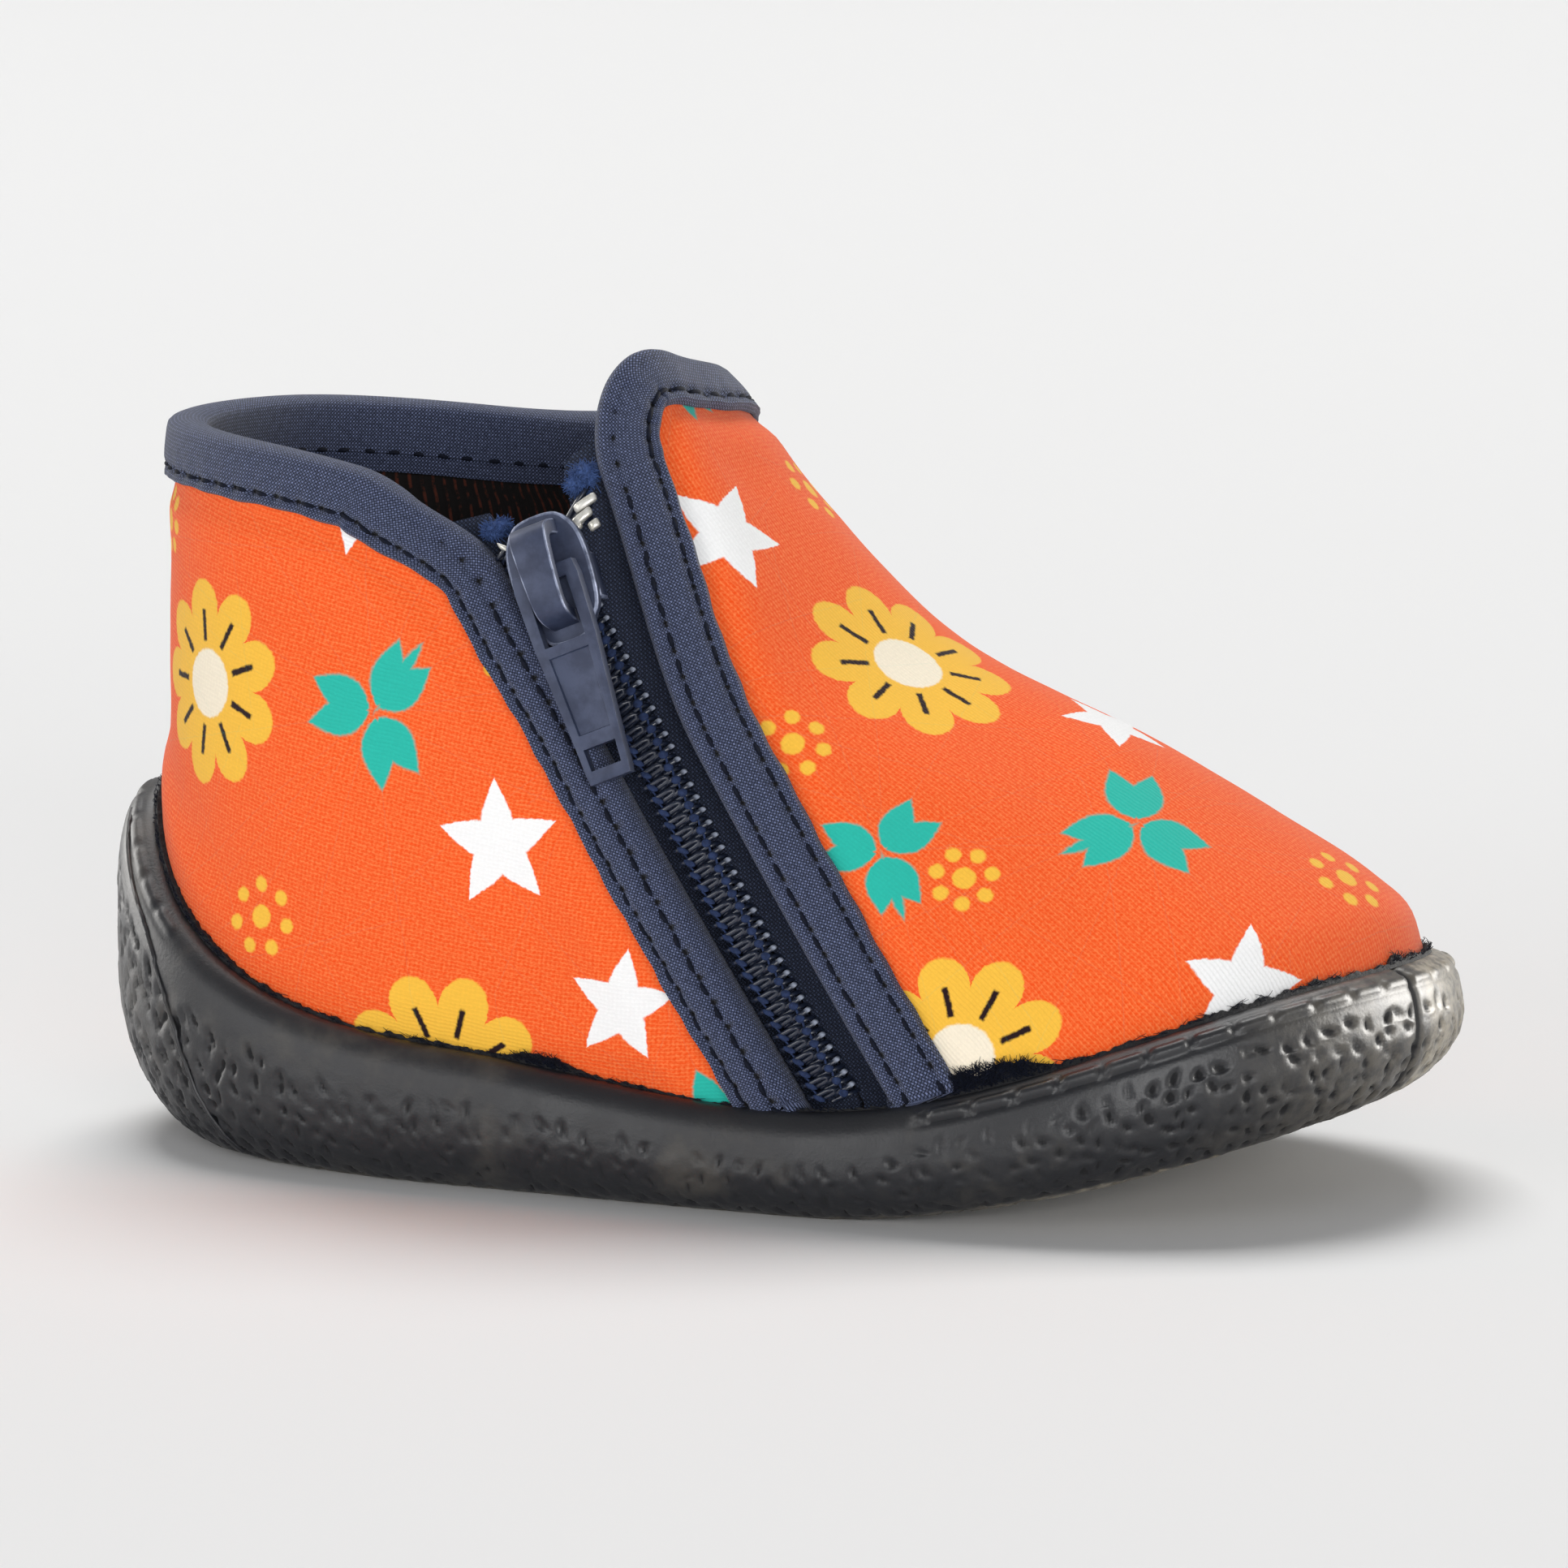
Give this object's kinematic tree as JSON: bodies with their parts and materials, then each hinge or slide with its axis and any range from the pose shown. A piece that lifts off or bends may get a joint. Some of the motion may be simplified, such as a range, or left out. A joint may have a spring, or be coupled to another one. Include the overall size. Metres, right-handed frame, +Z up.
{
  "type": "bootie slipper",
  "caption": "Toddler's zipped bootie slipper with a printed orange knit upper, navy binding, a side zip and a moulded rubber cup sole",
  "frame": {"origin": "on the floor under the middle of the shoe's box", "axes": "+X from heel to toe, +Y towards the inner side away from the zip, +Z up from the floor"},
  "size_m": [0.1292, 0.0584, 0.0766],
  "materials": {
    "sole": "matte moulded",
    "insole": "brushed textile",
    "upper": "printed fine-rib jersey",
    "edge_binding": "woven bias tape",
    "zip_tape": "woven tape",
    "zip_coil": "nylon coil",
    "zip_metal": "satin paint"
  },
  "bodies": {
    "shoe": {"sole": "sole", "insole": "insole", "upper": "upper", "edge_binding": "edge_binding", "zip_tape_rear": "zip_tape", "zip_tape_front": "zip_tape", "zip_chain": "zip_coil", "zip_row_rear": "zip_coil", "zip_row_front": "zip_coil", "zip_slider": "zip_metal"},
    "pull_tab": {"zip_pull_tab": "zip_metal"}
  },
  "joints": [
    {"name": "pull_tab_hinge", "type": "hinge", "parent": "shoe", "child": "pull_tab", "pos_m": [-0.01432, -0.02329, 0.05761], "axis": [-0.9213, -0.0563, -0.3847], "range_deg": [0, 160]}
  ]
}
